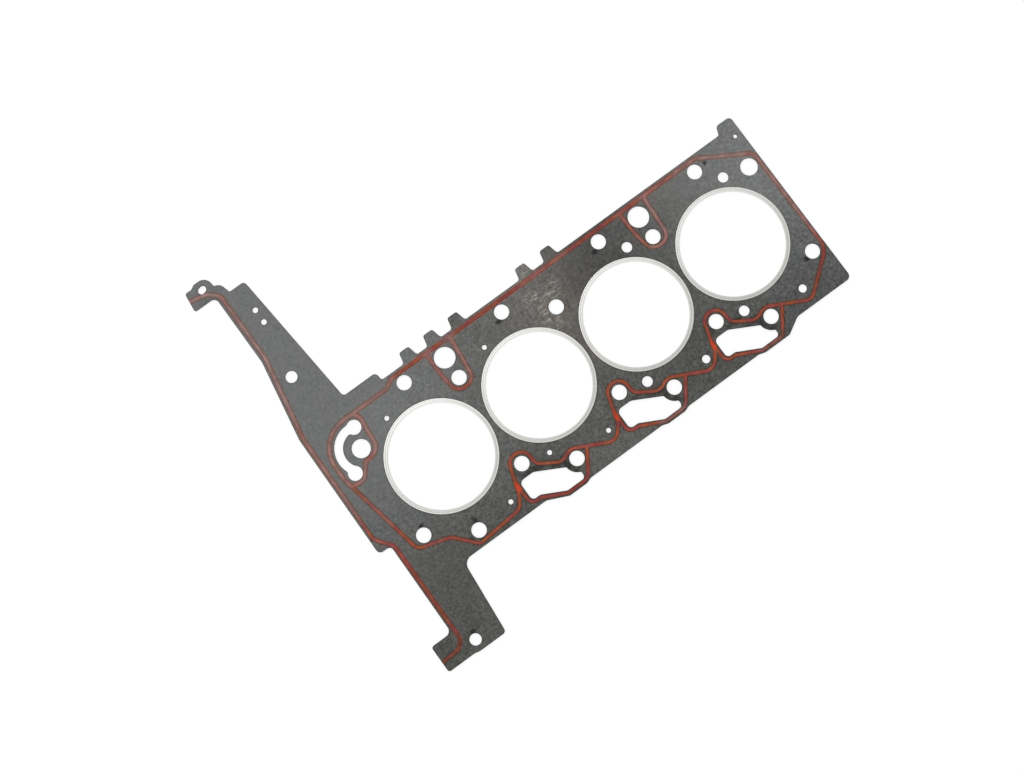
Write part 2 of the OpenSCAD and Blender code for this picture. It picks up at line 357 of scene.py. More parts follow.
@dataclass(frozen=True)
class FibreFacing(Finish):
    """Dark grey fibre sheet, rolled smooth, paler towards the arm and the ends.

    Tones are display values from 0 to 1. The sheet is paler towards the arm and the ends partly as
    its own uneven tone and partly as painted light and sheen. The pools darken or lighten it by their
    strengths, partly its own uneven tone and partly painted sheen and shade, one of them a painted
    shadow between the first two rings, and the smudges darken it by theirs. rougher strengthens its
    grain, rubbed is where handling has left it pale, and over smear the stain beside the beads is
    redder. Each of grains has a size, a number of finer layers, the strength of each and its own
    strength.
    """

    base_tone: float = 0.302
    # Painted light, partly the sheet's own tone: how much lighter it is towards the arm, on the back
    # lamp's side.
    back_light_lift: float = 0.118
    grains: tuple[tuple[float, float, float, float], ...] = (
        (2.2, 1.0, 0.5, 0.24),
        (5.0, 3.0, 0.6, 0.07),
        (34.0, 2.0, 0.5, 0.04),
    )
    grain_depth: float = 0.03
    fibre: float = 0.3
    fibre_width: float = 0.45
    fibre_squeeze: float = 0.25
    fibre_bias: float = 0.06
    stir: float = 3.0
    streak_width: float = 1.7
    streak_squeeze: float = 0.22
    fleck: float = 0.26
    rubbed_lift: float = 0.02
    # Painted shade: how much darker the sheet is along its edges and round each ring's flange.
    rim_shade_depth: float = 0.08
    darkest: float = 0.03
    seep: tuple[float, float] = (-0.05, -0.12)
    seep_fade: float = 0.7
    stain_share: float = 0.9
    roughness: tuple[float, float] = (0.6, 0.74)
    stain: Colour = (1.34, 0.92, 0.71, 1.0)
    smear_stain: Colour = (1.6, 0.86, 0.72, 1.0)
    smear: tuple[Patch, ...] = (
        Patch(0, 72, 110, 8),
        Patch(-211, -85, 12, 48),
    )
    rubbed: tuple[Patch, ...] = (
        Patch(-9, 38, 7, 12),
        Patch(3, 53, 11, 6),
        Patch(-11, 59, 9, 5),
        Patch(8, 60, 6, 4),
        Patch(-4.6, 80, 6, 6),
    )
    # Partly the sheet's own uneven tone and partly painted sheen and shade; the patch at -97, 12 is a
    # painted shadow between the first two rings.
    pools: tuple[Patch, ...] = (
        Patch(54, 52, 47, 65, 0.14),
        Patch(55, -5, 80, 45, 0.031),
        Patch(-60, 55, 42, 50, 0.05),
        Patch(-22, -78, 46, 24, -0.055),
        Patch(190, 20, 48, 62, -0.046),
        Patch(-155, 50, 35, 30, -0.015),
        Patch(-205, -35, 30, 35, -0.02),
        Patch(-122, -45, 20, 18, -0.022),
        Patch(77, 12, 10, 40, -0.018),
        Patch(-97, 12, 12, 20, 0.02),
        Patch(120, 48, 25, 20, 0.018),
        Patch(-72, 81, 8, 7, 0.05),
        Patch(-4.6, 80, 7, 6, -0.04),
        Patch(-230, -128, 13, 18, 0.024),
        Patch(-222, 208, 16, 10, 0.025),
    )
    rougher: tuple[Patch, ...] = (
        Patch(-8, 50, 26, 24, 0.5),
        Patch(-196, -62, 30, 42, -0.32),
        Patch(130, 62, 32, 12, -0.35),
        Patch(27, 62, 14, 12, -0.3),
    )
    smudges: tuple[Patch, ...] = (
        Patch(-149, -56, 1.5, 2.6, 0.36),
        Patch(-159.5, -66, 1.4, 1.6, 0.24),
        Patch(-185.5, -34.5, 2, 1.2, 0.36),
        Patch(180.5, -43.5, 1.6, 1.8, 0.34),
        Patch(50, 58.8, 1.8, 1.8, 0.3),
        Patch(-43.5, 58.5, 2.3, 1.6, 0.26),
        Patch(161.5, 64.6, 1.3, 1.7, 0.3),
        Patch(-200.5, -124, 2.2, 1.4, 0.34),
        Patch(-84, -51.5, 7, 2.8, 0.16),
        Patch(-72, -57.5, 6, 2.6, 0.16),
        Patch(-66, -63, 3, 5, 0.18),
        Patch(-62.5, -71, 3, 2.5, 0.14),
        Patch(-94, -50, 7, 2.2, 0.1),
        Patch(-100.5, -46, 1.8, 3, 0.08),
        Patch(8, -52, 6, 2.6, 0.08),
        Patch(22, -57.5, 6, 2.6, 0.13),
        Patch(28, -63, 3, 5, 0.14),
        Patch(32, -72, 4, 2.5, 0.16),
        Patch(104, -50, 8, 2.6, 0.1),
        Patch(118, -58, 6, 2.6, 0.14),
        Patch(122, -64, 3, 5, 0.16),
        Patch(126, -72, 3, 3, 0.14),
        Patch(109.5, -50.5, 2, 1.5, 0.16),
        Patch(87, -46, 1.6, 3, 0.1),
        Patch(68, -57, 2.4, 1.4, 0.1),
        Patch(74, -57.5, 1.5, 1.5, 0.1),
        Patch(-24, -57.5, 2.5, 1.3, 0.08),
        Patch(163.6, -57, 2.5, 1.2, 0.08),
    )

    def tone(self, bench: Bench, place: Socket) -> Socket:
        """Works out how light the sheet is at each place.

        Args:
            bench: bench of the material.
            place: position in millimetres.

        Returns:
            The tone's socket, as a display value from 0 to 1.
        """
        axes = bench.axes(place)
        across = axes["Y"]
        # Painted light, partly the sheet's own tone: lighter towards the arm, on the back lamp's side.
        lifted = bench.total(self.base_tone, bench.rise(across, -85.0, 50.0, 0.0, self.back_light_lift))
        tone = bench.marked(lifted, place, self.pools, -1.0)
        smooth_here = bench.sum("MULTIPLY", bench.rise(across, -30.0, 20.0),
                                bench.rise(axes["X"], -110.0, -170.0, 0.0, 0.35))
        rough_here = bench.sum("SUBTRACT", bench.rise(across, -35.0, 10.0, 1.05, 0.82), smooth_here)
        rough_here = bench.marked(rough_here, place, self.rougher, 1.0)
        patterns = [(bench.noise(place, size, detail, rough), strength)
                    for size, detail, rough, strength in self.grains]
        for pattern, strength in patterns + [(self.fibres(bench, place), self.fibre)]:
            tone = bench.sum("MULTIPLY_ADD", bench.swing(pattern, strength), rough_here, tone)
        return bench.sum("ADD", tone, self.scuffs(bench, place))

    def fibres(self, bench: Bench, place: Socket) -> Socket:
        """Makes the criss-cross of short fibres that shows from close by.

        Args:
            bench: bench of the material.
            place: position in millimetres.

        Returns:
            The pattern's socket, even about one half.
        """
        squeeze = self.fibre_squeeze
        laid = [bench.noise(bench.vector("MULTIPLY", place, way), self.fibre_width, 2.0, 0.6)
                for way in ((squeeze, 1.0, 1.0), (1.0, squeeze, 1.0))]
        return bench.sum("SUBTRACT", bench.sum("MAXIMUM", *laid), self.fibre_bias)

    def scuffs(self, bench: Bench, place: Socket) -> Socket:
        """Makes the handling marks: a pale rubbed patch and the dark smudges.

        Args:
            bench: bench of the material.
            place: position in millimetres.

        Returns:
            How much each place is lifted or darkened, as a display value.
        """
        shake = bench.make("ShaderNodeTexNoise", {"Vector": place, "Scale": 0.5}).outputs["Color"]
        swing = bench.vector("SCALE", bench.vector("SUBTRACT", shake, (0.5, 0.5, 0.5)), self.stir)
        stirred = bench.vector("ADD", place, swing)
        rubbed = bench.covered(place, self.rubbed)
        streaks = bench.vector("MULTIPLY", stirred, (self.streak_squeeze, 1.0, 1.0))
        flecks = bench.rise(bench.noise(streaks, self.streak_width, 2.0, 0.6), 0.5, 0.68)
        total = bench.sum("MULTIPLY", bench.sum("MULTIPLY", rubbed, flecks), self.fleck)
        total = bench.sum("MULTIPLY_ADD", rubbed, self.rubbed_lift, total)
        return bench.marked(total, stirred, self.smudges, -1.0)

    def tint(self, bench: Bench, place: Socket) -> Socket:
        """Works out the faint colour of the sheet at each place.

        Args:
            bench: bench of the material.
            place: position in millimetres.

        Returns:
            The socket of a colour near white that multiplies the grey.
        """
        axes = bench.axes(place)
        cool = (0.986, 1.0, 0.994, 1.0)
        plain = (1.0, 1.0, 0.978, 1.0)
        green = (0.992, 1.0, 0.958, 1.0)
        brown = (1.042, 1.0, 0.955, 1.0)
        tint = bench.blend(bench.rise(axes["X"], -60.0, -130.0), plain, cool)
        tint = bench.blend(bench.rise(axes["Y"], -20.0, -60.0), tint, green)
        tint = bench.blend(bench.rise(axes["X"], 110.0, 170.0), tint, cool)
        tint = bench.blend(bench.pool(place, Patch(0, 36, 34, 48)), tint, brown)
        drift = bench.rise(bench.noise(place, 11.0), 0.35, 0.65)
        shift = bench.blend(drift, (0.993, 1.002, 1.006, 1.0), (1.007, 0.998, 0.994, 1.0))
        return bench.blend(1.0, tint, shift, "MULTIPLY")

    def material(self) -> bpy.types.Material:
        """Makes the material, with its colour, sheen and fine relief.

        Returns:
            The material.
        """
        material, bench, shader, place = self.start()
        halo = bench.attribute("halo")
        smeared = bench.rise(bench.covered(place, self.smear), 0.1, 0.5)
        # Painted shade along every edge and a painted shadow round each ring's flange.
        tone = bench.sum("MULTIPLY_ADD", bench.attribute("rim_shade"), -self.rim_shade_depth, self.tone(bench, place))
        seep = bench.vary(bench.noise(place, 4.0), *self.seep)
        seep = bench.sum("MULTIPLY", seep, bench.sum("MULTIPLY_ADD", smeared, -self.seep_fade, 1.0))
        tone = bench.sum("MAXIMUM", bench.sum("MULTIPLY_ADD", halo, seep, tone), self.darkest)
        grey = bench.make("ShaderNodeCombineColor", {0: tone, 1: tone, 2: tone})
        stain = bench.blend(smeared, self.stain, self.smear_stain)
        tint = bench.blend(bench.sum("MULTIPLY", halo, self.stain_share), self.tint(bench, place), stain)
        tinted = bench.blend(1.0, grey, tint, "MULTIPLY")
        gamma = bench.make("ShaderNodeGamma", {"Color": tinted, "Gamma": DISPLAY_GAMMA})
        bench.feed(shader.inputs["Base Color"], gamma)
        bench.feed(shader.inputs["Roughness"], bench.vary(bench.noise(place, 3.0, 3.0), *self.roughness))
        shader.inputs["Specular IOR Level"].default_value = 0.35
        self.dent(bench, shader, self.fibres(bench, place), self.grain_depth)
        return material


@dataclass(frozen=True)
class CoreSteel(Finish):
    """Cold-rolled steel, seen only as the sheared line round the edges."""

    colour: Colour = (0.33, 0.33, 0.34, 1.0)
    shade: float = 0.55
    streak_width: float = 0.25
    streak_squeeze: float = 0.08
    streak_depth: float = 0.01
    roughness: tuple[float, float] = (0.55, 0.35)

    def material(self) -> bpy.types.Material:
        """Makes the material, with the streaks that the punch leaves on a sheared edge.

        Returns:
            The material.
        """
        material, bench, shader, place = self.start()
        drawn = bench.vector("MULTIPLY", place, (1.0, 1.0, self.streak_squeeze))
        streaks = bench.noise(drawn, self.streak_width, 3.0, 0.7)
        darker = tuple(self.shade * part for part in self.colour[:3]) + (1.0,)
        bench.feed(shader.inputs["Base Color"], bench.blend(streaks, darker, self.colour))
        bench.feed(shader.inputs["Roughness"], bench.vary(streaks, *self.roughness))
        shader.inputs["Metallic"].default_value = 1.0
        self.dent(bench, shader, streaks, self.streak_depth)
        return material


@dataclass(frozen=True)
class RingSteel(Finish):
    """Bright thin sheet steel with the fine turning marks of its forming.

    The crease, darkened as painted shade, and the lip, a painted highlight on the bright strip at the
    cut edge, are given by their distance from the ring's axis. Each fineness is how many steps of the
    marks there are in a millimetre. worn_all, worn_marks and worn_clouds say how much of the
    dull_and_shaded colour the steel and each of its marks bring, crease_shade how much the painted
    crease shade brings, and swing, painted light, how much less of it there is at the upper side of a
    ring, towards the back lamp, than at its middle.
    """

    colour: Colour = (0.672, 0.668, 0.648, 1.0)
    # The steel's dull colour, which also serves as its painted shade.
    dull_and_shaded: Colour = (0.422, 0.42, 0.404, 1.0)
    swing: float = 0.4
    swing_reach: float = 45.0
    fineness_out: float = 14.0
    fineness_along: float = 0.12
    crease_at: float = 43.57
    crease_fade: float = 9.0
    lip_start: float = 43.9
    lip_end: float = 44.3
    lip_shine: float = 0.22
    worn_all: float = 0.2
    worn_marks: float = 0.2
    worn_clouds: float = 0.14
    crease_shade: float = 0.5
    roughness: tuple[float, float] = (0.32, 0.44)
    mark_depth: float = 0.004

    def material(self) -> bpy.types.Material:
        """Makes the material, whose marks run round each ring's own axis.

        Returns:
            The material.
        """
        material, bench, shader, place = self.start()
        out = bench.attribute("reach")
        axes = bench.axes(place)
        turned = bench.triple(bench.sum("MULTIPLY", out, self.fineness_out),
                              bench.sum("MULTIPLY", axes["X"], self.fineness_along),
                              bench.sum("MULTIPLY", axes["Y"], self.fineness_along))
        marks = bench.noise(turned, 1.0, 3.0, 0.6)
        cloud = bench.noise(place, 9.0, 3.0)
        # Painted shade in the crease; sheen is painted light, lighter on the upper side towards the back
        # lamp and darker on the lower side; lip is a painted highlight.
        crease = bench.sum("SUBTRACT", out, self.crease_at)
        crease = bench.sum("MULTIPLY", crease, crease)
        crease = bench.sum("EXPONENT", bench.sum("MULTIPLY", crease, -self.crease_fade))
        sheen = bench.sum("MULTIPLY", bench.sum("DIVIDE", axes["Y"], self.swing_reach), -self.swing)
        lip = bench.rise(out, self.lip_start, self.lip_end, 0.0, -self.lip_shine)
        blend_share = bench.total(bench.sum("MULTIPLY", marks, self.worn_marks),
                           bench.sum("MULTIPLY", cloud, self.worn_clouds),
                           bench.sum("MULTIPLY", crease, self.crease_shade), self.worn_all, lip, sheen)
        bench.feed(shader.inputs["Base Color"], bench.blend(bench.held(blend_share), self.colour, self.dull_and_shaded))
        bench.feed(shader.inputs["Roughness"], bench.vary(cloud, *self.roughness))
        shader.inputs["Metallic"].default_value = 1.0
        self.dent(bench, shader, marks, self.mark_depth)
        return material


@dataclass(frozen=True)
class SiliconeBead(Finish):
    """Red silicone print with a painted highlight on its crest, thick and bright where strands meet.

    Its colour goes from a darker edge to a paler crest over the span crest_highlight of its height;
    the paler crest is a painted highlight. It is thin and faded over pale_pools, darker over
    deep_pools and thick over crossings.
    """

    edge: Colour = (0.1, 0.022, 0.012, 1.0)
    orange: Colour = (0.29, 0.063, 0.022, 1.0)
    crimson: Colour = (0.26, 0.043, 0.04, 1.0)
    pale_edge: Colour = (0.2, 0.105, 0.097, 1.0)
    pale_crest: Colour = (0.262, 0.168, 0.158, 1.0)
    bright: Colour = (0.44, 0.046, 0.012, 1.0)
    # Span of the bead's height over which the painted highlight rises from the darker edge to the paler
    # crest.
    crest_highlight: tuple[float, float] = (0.42, 0.9)
    ragged: float = 0.6
    wear: float = 0.6
    roughness: tuple[float, float] = (0.42, 0.55)
    grain_depth: float = 0.02
    crossings: tuple[Patch, ...] = tuple(
        Patch(column * PITCH - 13.2, -54.5, 3.0, 6.0) for column in (-1, 0, 1))
    pale_pools: tuple[Patch, ...] = (
        Patch(-225, 150, 30, 80, 1.0),
        Patch(-224, 213, 22, 20, 1.0),
        Patch(-222, 40, 14, 50, 0.75),
        Patch(-205, 60, 16, 22, 0.75),
        Patch(-174, 45, 14, 22, 0.8),
        Patch(-160, 70, 26, 12, 0.75),
        Patch(-192, 66, 20, 8, 0.8),
        Patch(-197, 25, 14, 9, 0.75),
        Patch(-188, -51, 14, 5, 0.1),
        Patch(-219, -27, 8, 8, 0.2),
        Patch(148, 72, 16, 6, 0.7),
        Patch(178, 62, 24, 16, 1.2),
        Patch(198, 15, 6, 50, 0.75),
        Patch(-104, 56, 9, 22, 0.5),
        Patch(-83, 54, 10, 24, 0.7),
        Patch(84, 55, 9, 22, 0.3),
        Patch(106, 54, 10, 24, 0.8),
        Patch(94, 32, 12, 8, 0.6),
        Patch(-206, -6, 12, 20, 0.35),
        Patch(10, 72, 26, 6, 0.35),
        Patch(122, 72, 24, 6, 0.4),
        Patch(25, -81, 18, 5, 0.5),
        Patch(122, -81, 18, 5, 0.4),
    )
    deep_pools: tuple[Patch, ...] = (
        Patch(-60, 72, 60, 6, 0.12),
        Patch(60, 72, 40, 6, 0.15),
        Patch(-72, -81, 20, 5, 0.2),
        Patch(25, -81, 20, 5, 0.15),
        Patch(122, -81, 20, 5, 0.3),
        Patch(-225, -130, 20, 16, 0.45),
        Patch(-212, -88, 8, 30, 0.2),
        Patch(181, -59, 16, 14, 0.2),
    )

    @staticmethod
    def strongest(bench: Bench, place: Socket, pools: tuple[Patch, ...]) -> Socket:
        """Gives the strongest of some soft patches at each place.

        Args:
            bench: bench of the material.
            place: position in millimetres.
            pools: the patches.

        Returns:
            The strength's socket.
        """
        total = 0.0
        for patch in pools:
            firm = bench.rise(bench.pool(place, patch), 0.15, 0.7)
            total = bench.sum("MAXIMUM", bench.sum("MULTIPLY", firm, patch.strength), total)
        return total

    def material(self) -> bpy.types.Material:
        """Makes the material, with its faded, thick and stained places.

        Returns:
            The material.
        """
        material, bench, shader, place = self.start()
        middle = LAMINATE / 2.0
        height = bench.sum("ABSOLUTE", bench.sum("SUBTRACT", bench.axes(place)["Z"], middle))
        height = bench.sum("DIVIDE", bench.sum("SUBTRACT", height, middle), BEAD_HEIGHT)
        patches = bench.noise(place, 4.0, 3.0, 0.6)
        ragged = bench.swing(patches, self.ragged)
        # Painted highlight: paler towards the crest, darker towards the edges.
        crest_highlight = bench.rise(bench.sum("ADD", height, ragged), *self.crest_highlight)
        hue = bench.rise(bench.noise(place, 12.0), 0.4, 0.6)
        full = bench.blend(crest_highlight, self.edge, bench.blend(hue, self.orange, self.crimson))
        pale = bench.blend(crest_highlight, self.pale_edge, self.pale_crest)
        blend_share = bench.swing(bench.noise(place, 9.0, 3.0, 0.6), self.wear)
        faded = bench.sum("ADD", self.strongest(bench, place, self.pale_pools), blend_share)
        colour = bench.blend(bench.held(faded), full, pale)
        thick = bench.sum("ADD", bench.covered(place, self.crossings), ragged)
        colour = bench.blend(bench.rise(thick, 0.35, 0.8), colour, self.bright)
        uneven = bench.vary(bench.noise(place, 7.0), 0.8, 1.2)
        value = bench.sum("SUBTRACT", uneven, self.strongest(bench, place, self.deep_pools))
        value = bench.sum("MULTIPLY", value, bench.vary(bench.noise(place, 0.5), 0.86, 1.14))
        bench.feed(shader.inputs["Base Color"], bench.vector("SCALE", colour, value))
        bench.feed(shader.inputs["Roughness"], bench.vary(patches, *self.roughness))
        shader.inputs["Specular IOR Level"].default_value = 0.25
        self.dent(bench, shader, bench.noise(place, 0.9), self.grain_depth)
        return material


@dataclass(frozen=True)
class TableTop(Finish):
    """Plain white table that keeps a faint shadow.

    White is how bright the camera sees it in full light, shade how much of that a shadow can
    take away, and matt what it throws back on to the gasket.
    """

    white: float = 1.04
    shade: float = 0.3
    matt: float = 0.8

    def material(self) -> bpy.types.Material:
        """Makes the material, which shows as white to the camera and in reflections.

        Returns:
            The material.
        """
        material = bpy.data.materials.new(self.name)
        material.use_nodes = True
        bench = Bench(material.node_tree)
        material.node_tree.nodes.remove(material.node_tree.nodes["Principled BSDF"])
        matt, faint = (bench.make("ShaderNodeBsdfDiffuse", {"Color": (grey, grey, grey, 1.0)})
                       for grey in (self.matt, self.shade))
        glow = bench.make("ShaderNodeEmission", {"Strength": self.white - self.shade})
        lit = bench.make("ShaderNodeAddShader", {0: faint, 1: glow})
        pick = bench.make("ShaderNodeMixShader", {0: bench.seen(), 1: matt, 2: lit})
        bench.feed(material.node_tree.nodes["Material Output"].inputs["Surface"], pick)
        return material


def tree_with(name: str, **sizes: str) -> tuple[Bench, dict[str, Socket], Socket]:
    """Begins a Geometry Nodes tree with named inputs.

    Args:
        name: name of the tree.
        sizes: kind of each named input.

    Returns:
        The tree's bench, the outputs of its named inputs, and the input of its result.
    """
    tree = bpy.data.node_groups.new(name, "GeometryNodeTree")
    for size, kind in {"Geometry": "Geometry", **sizes}.items():
        tree.interface.new_socket(size, in_out="INPUT", socket_type="NodeSocket" + kind)
    tree.interface.new_socket("Geometry", in_out="OUTPUT", socket_type="NodeSocketGeometry")
    bench = Bench(tree)
    inputs = bench.add("NodeGroupInput")
    given = {socket.name: socket for socket in inputs.outputs if socket.name}
    return bench, given, bench.add("NodeGroupOutput").inputs[0]


def made_by(tree: bpy.types.NodeTree, name: str, base: bpy.types.Mesh,
            values: dict[str, object]) -> bpy.types.Object:
    """Runs a Geometry Nodes tree on a mesh and keeps the result as a plain mesh.

    Args:
        tree: the tree.
        name: name of the finished piece.
        base: mesh that goes into the tree.
        values: value of each named input.

    Returns:
        The finished piece, at the origin.
    """
    former = bpy.data.objects.new(name + "_former", base)
    bpy.context.scene.collection.objects.link(former)
    modifier = former.modifiers.new("form", "NODES")
    modifier.node_group = tree
    for item in tree.interface.items_tree:
        if item.in_out == "INPUT" and item.name in values:
            modifier[item.identifier] = values[item.name]
    evaluated = former.evaluated_get(bpy.context.evaluated_depsgraph_get())
    mesh = bpy.data.meshes.new_from_object(evaluated)
    former.modifiers.remove(modifier)
    bpy.data.objects.remove(former)
    return piece_from(name, mesh)


def piece_from(name: str, mesh: bpy.types.Mesh) -> bpy.types.Object:
    """Puts a mesh in the scene as an object at the origin.

    Args:
        name: name of the piece.
        mesh: its mesh.

    Returns:
        The object.
    """
    mesh.name = name
    piece = bpy.data.objects.new(name, mesh)
    bpy.context.scene.collection.objects.link(piece)
    return piece


def turn_out(work: bmesh.types.BMesh) -> None:
    """Turns the faces of a closed mesh outwards.

    Args:
        work: the mesh, changed in place.
    """
    bmesh.ops.recalc_face_normals(work, faces=work.faces)
    if work.calc_volume(signed=True) < 0.0:
        bmesh.ops.reverse_faces(work, faces=work.faces)


def face_out(mesh: bpy.types.Mesh, sliver: float = WELD) -> None:
    """Welds a closed mesh and turns its faces outwards.

    Args:
        mesh: the mesh to mend in place.
        sliver: width in metres below which a face is closed up.
    """
    work = bmesh.new()
    work.from_mesh(mesh)
    bmesh.ops.remove_doubles(work, verts=work.verts, dist=WELD)
    bmesh.ops.dissolve_degenerate(work, edges=work.edges, dist=sliver)
    turn_out(work)
    work.to_mesh(mesh)
    work.free()


def settle(piece: bpy.types.Object, slot: str, *nodes: str) -> None:
    """Ties a finished piece to the frame.

    Args:
        piece: the finished piece.
        slot: material slot of the record that it stands for; not used.
        nodes: CAD nodes that it replaces.
    """
    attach(piece, BODY)
    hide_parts(*nodes)
    triangles = sum(len(polygon.vertices) - 2 for polygon in piece.data.polygons)
    log.info("%s: %d triangles, in place of %s", piece.name, triangles, ", ".join(nodes))


@dataclass
class Outline:
    """One closed edge of the laminate in plan, with the sheet on its left, in millimetres."""

    points: np.ndarray

    ROUND_CORNERS: ClassVar[int] = 8
    ROUND_SLACK: ClassVar[float] = 0.03
    FEWEST_CHORDS: ClassVar[int] = 48
    SHARPEST: ClassVar[float] = 0.35

    @classmethod
    def traced(cls, corners: np.ndarray, step: float) -> "Outline":
        """Makes an edge from the model's corner points, with round holes drawn finely.

        Args:
            corners: points in order round the edge.
            step: longest chord on a round hole.

        Returns:
            The edge.
        """
        middle = (corners.min(axis=0) + corners.max(axis=0)) / 2.0
        reach = np.hypot(*(corners - middle).T)
        if len(corners) < cls.ROUND_CORNERS or np.ptp(reach) > cls.ROUND_SLACK:
            return cls(corners)
        eighth = round(math.tau * reach.mean() / step / 8.0)
        count = max(cls.FEWEST_CHORDS, 8 * eighth)
        first = math.atan2(*(corners[0] - middle)[::-1])
        second = math.atan2(*(corners[1] - middle)[::-1])
        way = 1.0 if math.sin(second - first) > 0.0 else -1.0
        angles = first + way * np.linspace(0.0, math.tau, count, endpoint=False)
        return cls(middle + reach.max() * np.column_stack((np.cos(angles), np.sin(angles))))

    def reach(self) -> float:
        """Gives half the greatest width of the edge."""
        return float(np.ptp(self.points, axis=0).max()) / 2.0

    def inset(self, depth: float) -> np.ndarray:
        """Moves the edge into the sheet.

        Args:
            depth: how far, in millimetres.

        Returns:
            The moved points, in the same order.
        """
        if not depth:
            return self.points
        before = self.points - np.roll(self.points, 1, axis=0)
        after = np.roll(self.points, -1, axis=0) - self.points
        before /= np.hypot(*before.T)[:, None]
        after /= np.hypot(*after.T)[:, None]
        middle = before + after
        middle /= np.hypot(*middle.T)[:, None]
        lean = np.maximum((middle * before).sum(axis=1), self.SHARPEST)
        return self.points + depth / lean[:, None] * np.column_stack((-middle[:, 1], middle[:, 0]))


@dataclass
class Strand:
    """The middle line of one printed strand in plan, in millimetres."""

    points: np.ndarray
    closed: bool

    def there_and_back(self) -> np.ndarray:
        """Gives the line as a closed walk."""
        return self.points if self.closed else np.concatenate((self.points, self.points[::-1]))

    def sides(self, depth: float) -> list[np.ndarray]:
        """Draws closed lines at a distance beside the strand.

        Args:
            depth: the distance.

        Returns:
            One line round an open strand, or one on each side of a closed one.
        """
        if self.closed:
            return [Outline(self.points).inset(depth), Outline(self.points).inset(-depth)]
        along = np.gradient(self.points, axis=0)
        along /= np.hypot(*along.T)[:, None]
        aside = depth * np.column_stack((-along[:, 1], along[:, 0]))
        return [np.concatenate((self.points + aside, (self.points - aside)[::-1]))]


